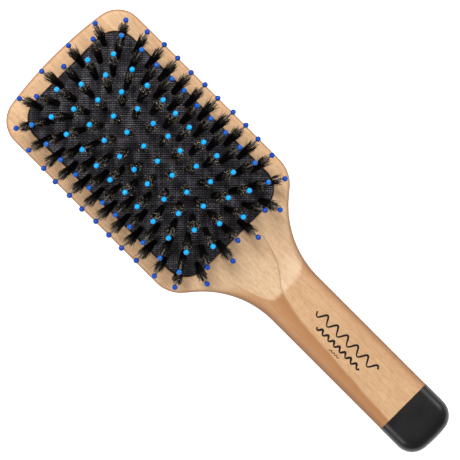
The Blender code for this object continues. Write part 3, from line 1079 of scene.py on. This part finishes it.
@dataclass
class Cushion:
    """The rubber dome with its lip and flange, and the fabric bonded to its face."""

    corner: float = 11 * MM
    flange: float = 1.6 * MM
    power_across: float = 2.2
    power_along: float = 2.6
    fabric: float = 0.5 * MM
    rubber: float = 1.1 * MM
    cell: float = 0.9 * MM
    dimple: float = 0.45 * MM
    dimple_radius: float = 1.9 * MM
    swell: float = 0.35  # of the dimple's depth, how high the face stands round it
    swell_at: float = 1.9  # dimple radii from the tuft
    flange_thick: float = 1.2 * MM
    lip: float = 1.0 * MM
    roll: float = 0.6 * MM  # how far the lip's outer edge lies below the wood's face
    give: float = 0.5 * MM  # the height over the rim within which the real fabric folds when it's pressed
    sink: float = 0.05 * MM
    bond: float = 0.05 * MM
    tuck: float = 0.15 * MM
    hold: float = 0.7 * MM  # how far in from the outline the lip grips the fabric and the rubber
    play: float = 0.02 * MM  # between the collar and the outline
    edge_clear: float = 0.6  # cells between a skin's edge and the mesh inside it
    loop_steps: int = 14
    low: Vector = field(init=False)
    high: Vector = field(init=False)
    half_x: float = field(init=False)
    half_y: float = field(init=False)
    middle_y: float = field(init=False)
    face_z: float = field(init=False)
    rise: float = field(init=False)

    def __post_init__(self) -> None:
        """Reads the cushion's sizes from the frame and takes off its flange."""
        low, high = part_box("cushion")
        out = Vector((self.flange, self.flange, 0))
        self.low, self.high = low + out, high - out
        self.half_x, self.half_y = self.high.x, (self.high.y - self.low.y) / 2
        self.middle_y = (self.high.y + self.low.y) / 2
        self.face_z = WoodBody.head_thickness
        self.rise = self.high.z - self.face_z

    def loop(self, grow: float) -> list[Vector]:
        """The rounded-rectangle outline.

        Args:
            grow: How far it is grown all round.

        Returns:
            The points, anticlockwise from the right side.
        """
        x, y = self.half_x - self.corner, self.half_y - self.corner
        points = []
        for quarter, (sx, sy) in enumerate(((1, 1), (-1, 1), (-1, -1), (1, -1))):
            start = quarter * math.pi / 2
            centre = (sx * x, self.middle_y + sy * y)
            points += arc(centre, self.corner + grow, start, start + math.pi / 2, self.loop_steps)
        return points

    def outside(self, x: float, y: float) -> float:
        """How far a point is outside the outline.

        Args:
            x: Its place across the brush.
            y: Its place along the brush.

        Returns:
            The distance. It is below 0 inside, and nowhere below minus the corner's radius.
        """
        dx = max(abs(x) - (self.half_x - self.corner), 0)
        dy = max(abs(y - self.middle_y) - (self.half_y - self.corner), 0)
        return math.hypot(dx, dy) - self.corner

    def height(self, x: float, y: float) -> float:
        """The dome's height.

        Args:
            x: The place across the brush.
            y: The place along the brush.

        Returns:
            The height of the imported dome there.
        """
        u = min(abs(x) / self.half_x, 1.0)
        v = min(abs(y - self.middle_y) / self.half_y, 1.0)
        return self.face_z + self.rise * (1 - u**self.power_across) * (1 - v**self.power_along)

    def sheet(
        self, name: str, rows: list[Row], sink: float, thick: float, cell: float, inset: float
    ) -> bpy.types.Object:
        """A skin over the dome, dimpled where each tuft pulls it in.

        Args:
            name: The piece's name.
            rows: The rows of tufts.
            sink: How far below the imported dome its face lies.
            thick: Its thickness.
            cell: The mesh's spacing.
            inset: How far inside the outline its edge lies.

        Returns:
            The closed skin.
        """
        edge = self.loop(-inset)
        flat = [Vector((p.x, p.y)) for p in edge]
        count = len(flat)
        nx, ny = int(2 * self.half_x / cell), int(2 * self.half_y / cell)
        for i in range(nx + 1):
            for j in range(ny + 1):
                x = self.half_x * (2 * i / nx - 1)
                y = self.middle_y + self.half_y * (2 * j / ny - 1)
                if self.outside(x, y) < -inset - cell * self.edge_clear:
                    flat.append(Vector((x, y)))
        ties = [(i, (i + 1) % count) for i in range(count)]
        made = delaunay_2d_cdt(flat, ties, [], 1, 1e-7)
        plan = np.array([tuple(p) for p in made[0]])
        z = np.array([self.height(x, y) for x, y in plan]) - sink
        for row in rows:
            for tuft in row.tufts:
                away = np.hypot(plan[:, 0] - tuft.root.x, plan[:, 1] - tuft.root.y)
                z -= self.dimple * np.exp(-((away / self.dimple_radius) ** 2))
                around = (away - self.swell_at * self.dimple_radius) / self.dimple_radius
                z += self.swell * self.dimple * np.exp(-(around**2))
        n = len(plan)
        points = [(x, y, h) for (x, y), h in zip(plan, z)] + [(x, y, h - thick) for (x, y), h in zip(plan, z)]
        faces = [tuple(f) for f in made[2]] + [tuple(n + i for i in reversed(f)) for f in made[2]]
        faces += [(a, b, n + b, n + a) for a, b in rim_edges(made[2])]
        return new_piece(name, points, faces, 60)

    def collar(self) -> bpy.types.Object:
        """The rubber's lip and flange in the groove, as one ring.

        Returns:
            The ring.
        """
        under = self.face_z - self.lip
        bottom, rolled = under - self.flange_thick, self.face_z - self.roll
        profile = [
            (0.0, rolled), (0.0, under), (self.flange, under), (self.flange, bottom),
            (-self.hold, bottom), (-self.hold, under - self.sink - self.fabric),
        ]
        points = [(p.x, p.y, z) for grow, z in profile for p in self.loop(grow - self.play)]
        faces = bridge(len(profile), len(points) // len(profile), closed=True)
        return new_piece("rubber_lip_and_flange", points, faces)

    def build(self, rows: list[Row]) -> None:
        """Makes the fabric, the rubber under it and the lip in the groove.

        Args:
            rows: The rows of tufts, which dimple it.
        """
        sink, under = self.sink, self.sink + self.fabric + self.bond
        fabric = self.sheet("fabric_facing", rows, sink, self.fabric, self.cell, self.tuck)
        rubber = self.sheet("rubber_membrane", rows, under, self.rubber, 2 * self.cell, self.hold + self.tuck)
        lip = self.collar()
        dress(fabric, Weave().make())
        soft = Rubber().make()
        for piece in (rubber, lip):
            dress(piece, soft)
        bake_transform(fabric)
        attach(rubber, Body.CUSHION.value)
        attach(lip, Body.WOOD.value)
        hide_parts("cushion")
        for piece in (fabric, rubber, lip):
            LOG.info("%s: %d faces", piece.name, len(piece.data.polygons))


# --- Bristles and quills ------------------------------------------------------------------------


@dataclass
class Tube:
    """Gathers many thin tubes into one mesh."""

    sides: int
    points: list = field(default_factory=list)
    faces: list = field(default_factory=list)
    values: dict = field(default_factory=dict)

    def add(
        self, line: np.ndarray, radii: np.ndarray, across: np.ndarray, up: np.ndarray, **values: object
    ) -> None:
        """Adds one closed tube.

        Args:
            line: Points along its middle.
            radii: Its radius at each of them.
            across: A direction across it.
            up: The other direction across it.
            **values: A number for each point of the line, or one for all, for each attribute.
        """
        turns = 2 * np.pi * np.arange(self.sides) / self.sides
        spokes = np.cos(turns)[:, None] * across + np.sin(turns)[:, None] * up
        rings = line[:, None, :] + radii[:, None, None] * spokes[None]
        base = sum(len(p) for p in self.points)
        self.points.append(rings.reshape(-1, 3))
        n, steps = self.sides, len(line)
        k, i = np.meshgrid(np.arange(steps - 1), np.arange(n), indexing="ij")
        a = base + k * n + i
        b = base + k * n + (i + 1) % n
        self.faces += np.stack([a, b, b + n, a + n], -1).reshape(-1, 4).tolist()
        end = base + (steps - 1) * n
        self.faces += [list(range(base, base + n))[::-1], list(range(end, end + n))]
        for name, value in values.items():
            spread = np.repeat(np.broadcast_to(np.asarray(value, float), steps), n)
            self.values.setdefault(name, []).append(spread)

    def piece(self, name: str, sharp: float | None = None) -> bpy.types.Object:
        """Makes the gathered tubes one piece.

        Args:
            name: The piece's name.
            sharp: Edges that turn more than this many degrees stay sharp. None keeps all smooth.

        Returns:
            The piece, with the tubes' attributes on its points.
        """
        made = new_piece(name, np.concatenate(self.points), self.faces, sharp)
        for label, parts in self.values.items():
            layer = made.data.attributes.new(label, "FLOAT", "POINT")
            layer.data.foreach_set("value", np.concatenate(parts).astype(np.float32))
        return made


@dataclass
class BristleRow:
    """The bristles of one row, many to each tuft, with uneven ends."""

    row: Row
    count: int = 125
    length: float = 17.5 * MM
    uneven: float = 1.5 * MM
    root_radius: float = 1.3 * MM
    tip_radius: float = 2.55 * MM
    glint_splay: tuple[float, float] = (14.0, 27.0)  # degrees of splay between which fewer tips are painted pale, as the painted glints fade
    glint_loss: float = 0.6  # how much of the painted glint is lost at the widest splay
    bleach_and_glint_power: float = 2.4  # the higher, the fewer pale tips, bleached and glinting
    thick: float = 0.125 * MM
    thick_range: tuple[float, float] = (0.8, 1.15)
    taper: float = 0.45
    burr: float = 1.1  # how much wider the palest tips are
    core: float = 0.12  # the share of a tuft's area, at its middle, that the quill keeps free
    length_spread: float = 0.55
    longest: float = 2.2  # times uneven, past the length
    doming: float = 0.10  # of the length, how much shorter an outermost bristle can be
    splay_range: tuple[float, float] = (0.75, 1.2)
    flare: float = 1.6  # the power at which a tuft widens upwards
    stray_share: float = 0.06
    stray_out: tuple[float, float] = (0.4, 1.3)  # mm
    bow: float = 0.22  # mm
    sunk: float = 0.5 * MM
    plug_at: tuple[float, ...] = (-0.6, 0.15, 0.5)  # mm along the tuft
    plug_wide: tuple[float, ...] = (1.0, 1.05, 0.7)  # times the root's radius
    steps: int = 5

    def build(self, finish: bpy.types.Material, rng: np.random.Generator) -> None:
        """Grows every tuft's bristles and the plug that binds them at the cushion.

        Args:
            finish: The bristles' material.
            rng: The random numbers' source.
        """
        tube = Tube(3)
        for tuft in self.row.tufts:
            self.grow(tube, tuft, rng)
        piece = tube.piece(f"bristles_{self.row.number}")
        dress(piece, finish)
        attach(piece, self.row.body)
        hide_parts(f"bristle_row_{self.row.number}")
        LOG.info("%s: %d faces", piece.name, len(piece.data.polygons))

    def grow(self, tube: Tube, tuft: Tuft, rng: np.random.Generator) -> None:
        """Adds one tuft's bristles.

        Args:
            tube: The mesh that is being gathered.
            tuft: Where they grow.
            rng: The random numbers' source.
        """
        axis, side, up = (np.array(v) for v in (tuft.axis, tuft.across, tuft.along))
        root = np.array(tuft.root)
        t = np.linspace(0, 1, self.steps)
        least, most = self.glint_splay
        # painted glint: upright tufts, seen end-on, get more pale tips than leaning ones
        worn = 1 - self.glint_loss * smooth_step((tuft.splay - least) / (most - least))
        for _ in range(self.count):
            turn = rng.uniform(0, 2 * np.pi)
            out = math.sqrt(rng.uniform(self.core, 1))
            spoke = math.cos(turn) * side + math.sin(turn) * up
            stray = rng.random() < self.stray_share
            reach = self.length + rng.normal(0, self.length_spread) * self.uneven
            reach -= self.doming * out * self.length * rng.random()
            reach = min(reach, self.length + self.longest * self.uneven)
            spread = self.tip_radius * out * rng.uniform(*self.splay_range)
            if stray:
                spread += rng.uniform(*self.stray_out) * MM
            bow = rng.normal(0, self.bow, 2) * MM
            radius = self.root_radius * out + (spread - self.root_radius * out) * t**self.flare
            drift = (bow[0] * side + bow[1] * up)[None] * (t**2)[:, None]
            rise = t * (reach + self.sunk) - self.sunk
            line = root + axis * rise[:, None] + spoke * radius[:, None] + drift
            thick = self.thick * rng.uniform(*self.thick_range)
            radii = thick * (1 - self.taper * t)
            pale = rng.random() ** self.bleach_and_glint_power * worn
            radii[-1] *= 1 + self.burr * pale
            tube.add(line, radii, side, up, along=t, pale=pale)
        plug = np.array(self.plug_at) * MM
        widths = self.root_radius * np.array(self.plug_wide)
        tube.add(root + axis * plug[:, None], widths, side, up, along=0.0, pale=0.0)


@dataclass
class QuillRow:
    """The ball-tipped quills of one row."""

    row: Row
    cushion: Cushion
    ball: float = 1.30 * MM
    foot: float = 0.50 * MM
    neck: float = 0.40 * MM
    bend: float = 0.55 * MM
    bend_spread: float = 0.5
    sunk: float = 0.6 * MM  # how far the stem reaches under the cushion's face
    foot_flare: float = 1.25
    pole_low: float = 0.32  # radians of the ball that are cut off where the stem enters it
    pole_high: float = 0.04
    stem_sides: int = 10
    stem_steps: int = 9
    ball_sides: int = 16
    ball_steps: int = 13
    shade_from: float = -4 * MM  # how far outside the cushion a ball's blue starts to deepen, as painted shade
    shade_to: float = 1 * MM

    def build(
        self, nylon: bpy.types.Material, resin: bpy.types.Material, rng: np.random.Generator
    ) -> None:
        """Makes the stems and balls, each as one piece for the row.

        Args:
            nylon: The stems' material.
            resin: The balls' material.
            rng: The random numbers' source.
        """
        stems, balls = Tube(self.stem_sides), Tube(self.ball_sides)
        turns = np.linspace(self.pole_low, np.pi - self.pole_high, self.ball_steps)
        heights = -np.cos(turns) * self.ball
        widths = np.sqrt(np.maximum(self.ball**2 - heights**2, 1e-12))
        t = np.linspace(0, 1, self.stem_steps)
        for tuft in self.row.tufts:
            axis, side, up = (np.array(v) for v in (tuft.axis, tuft.across, tuft.along))
            root = np.array(tuft.root)
            centre = np.linalg.norm(np.array(tuft.tip) - root) - self.ball
            drift = rng.normal(0, self.bend_spread, 2) * self.bend
            swerve = drift[0] * side + drift[1] * up
            rise = t * (centre + self.sunk) - self.sunk
            line = root + axis * rise[:, None] + swerve * (t**2)[:, None]
            radii = self.foot + (self.neck - self.foot) * t
            radii[0] = self.foot * self.foot_flare
            stems.add(line, radii, side, up)
            middle = root + axis * centre + swerve
            # painted shade: balls near and past the cushion's edge get a deeper blue
            past = self.cushion.outside(tuft.tip.x, tuft.tip.y)
            deep = smooth_step((past - self.shade_from) / (self.shade_to - self.shade_from))
            balls.add(middle + axis * heights[:, None], widths, side, up, deep=deep)
        stem_piece = stems.piece(f"quill_stems_{self.row.number}", 60)
        ball_piece = balls.piece(f"quill_balls_{self.row.number}")
        dress(stem_piece, nylon)
        dress(ball_piece, resin)
        for piece in (stem_piece, ball_piece):
            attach(piece, self.row.body)
            LOG.info("%s: %d faces", piece.name, len(piece.data.polygons))
        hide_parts(f"quill_row_{self.row.number}")


# --- The studio ---------------------------------------------------------------------------------


@dataclass(frozen=True)
class Lamp:
    """A square soft light that faces the brush."""

    name: str
    place: tuple[float, float, float]
    size: float  # metres along each side
    watts: float

    def hang(self) -> None:
        """Adds the light to the scene."""
        light = bpy.data.lights.new(self.name, "AREA")
        light.size, light.energy = self.size, self.watts
        holder = bpy.data.objects.new(self.name, light)
        bpy.context.scene.collection.objects.link(holder)
        holder.location = self.place
        holder.rotation_euler = (-Vector(self.place)).to_track_quat("-Z", "Y").to_euler()


@dataclass
class Studio:
    """A white table, soft light from all round and a camera straight above."""

    lamps: tuple[Lamp, ...] = (
        Lamp("soft_key", (0.30, 0.75, 1.40), 0.6, 16.0),
        Lamp("soft_right", (1.15, 0.0, 1.00), 0.8, 9.5),
        Lamp("soft_left", (-1.15, 0.1, 1.00), 0.8, 9.5),
    )
    daylight: float = 0.38  # the world's strength

    distance: float = 5.0
    focus: float = 10 * MM  # the height at which the frame shows just that much
    seen: float = 208.7 * MM  # how much of the table the frame shows
    centre: tuple[float, float] = (1.0 * MM, 10.0 * MM)
    roll: float = math.radians(-45)
    sensor: float = 36.0
    table: float = 20.0  # half the table's side, so that a low camera sees no end of it
    table_drop: float = 0.1 * MM
    table_glow: float = 0.7
    shades: tuple[Colour, Colour] = ((0.86, 0.86, 0.86), (0.9, 0.9, 0.9))

    def floor(self) -> None:
        """Lays a white table top under the brush."""
        half = self.table
        points = [(-half, -half, 0), (half, -half, 0), (half, half, 0), (-half, half, 0)]
        table = new_piece("table_top", points, [(0, 1, 2, 3)])
        table.location.z = -self.table_drop
        s = Shader("white_table")
        speck = s.noise((9, 9, 9), 2.0)
        s.plain(Base_Color=s.mix(speck, *self.shades), Roughness=0.7)
        s.plain(Emission_Color=(1.0, 1.0, 1.0), Emission_Strength=self.table_glow)
        dress(table, s.material)

    def build(self) -> None:
        """Sets up the table, the lights, the world and the camera."""
        self.floor()
        for lamp in self.lamps:
            lamp.hang()
        world = bpy.data.worlds.new("studio")
        world.use_nodes = True
        sky = world.node_tree.nodes["Background"]
        sky.inputs["Color"].default_value = (1, 1, 1, 1)
        sky.inputs["Strength"].default_value = self.daylight
        bpy.context.scene.world = world
        camera = bpy.data.cameras.new("camera")
        camera.sensor_width = self.sensor
        camera.lens = self.sensor * (self.distance - self.focus) / self.seen
        holder = bpy.data.objects.new("camera", camera)
        bpy.context.scene.collection.objects.link(holder)
        holder.location = (*self.centre, self.distance)
        holder.rotation_euler = (0, 0, self.roll)
        camera.clip_start, camera.clip_end = 0.05, 20
        bpy.context.scene.camera = holder
        bpy.context.scene.view_settings.view_transform = "Standard"
        LOG.info("studio ready")


def main() -> None:
    """Builds the brush piece by piece, then the studio."""
    logging.basicConfig(level=logging.INFO, format="%(name)s %(message)s")
    rng = np.random.default_rng(SEED)
    count = sum(name.startswith("quill_row_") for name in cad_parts)
    rows = [Row(number) for number in range(1, count + 1)]
    LOG.info("%d tufts", sum(len(row.tufts) for row in rows))
    cushion = Cushion()
    WoodBody().build(cushion)
    PrintedWaves().build()
    cushion.build(rows)
    bristle, nylon, resin = BoarBristle().make(), Nylon().make(), Bead().make()
    for row in rows:
        BristleRow(row).build(bristle, rng)
        QuillRow(row, cushion).build(nylon, resin, rng)
    Studio().build()


if __name__ == "__main__":
    main()
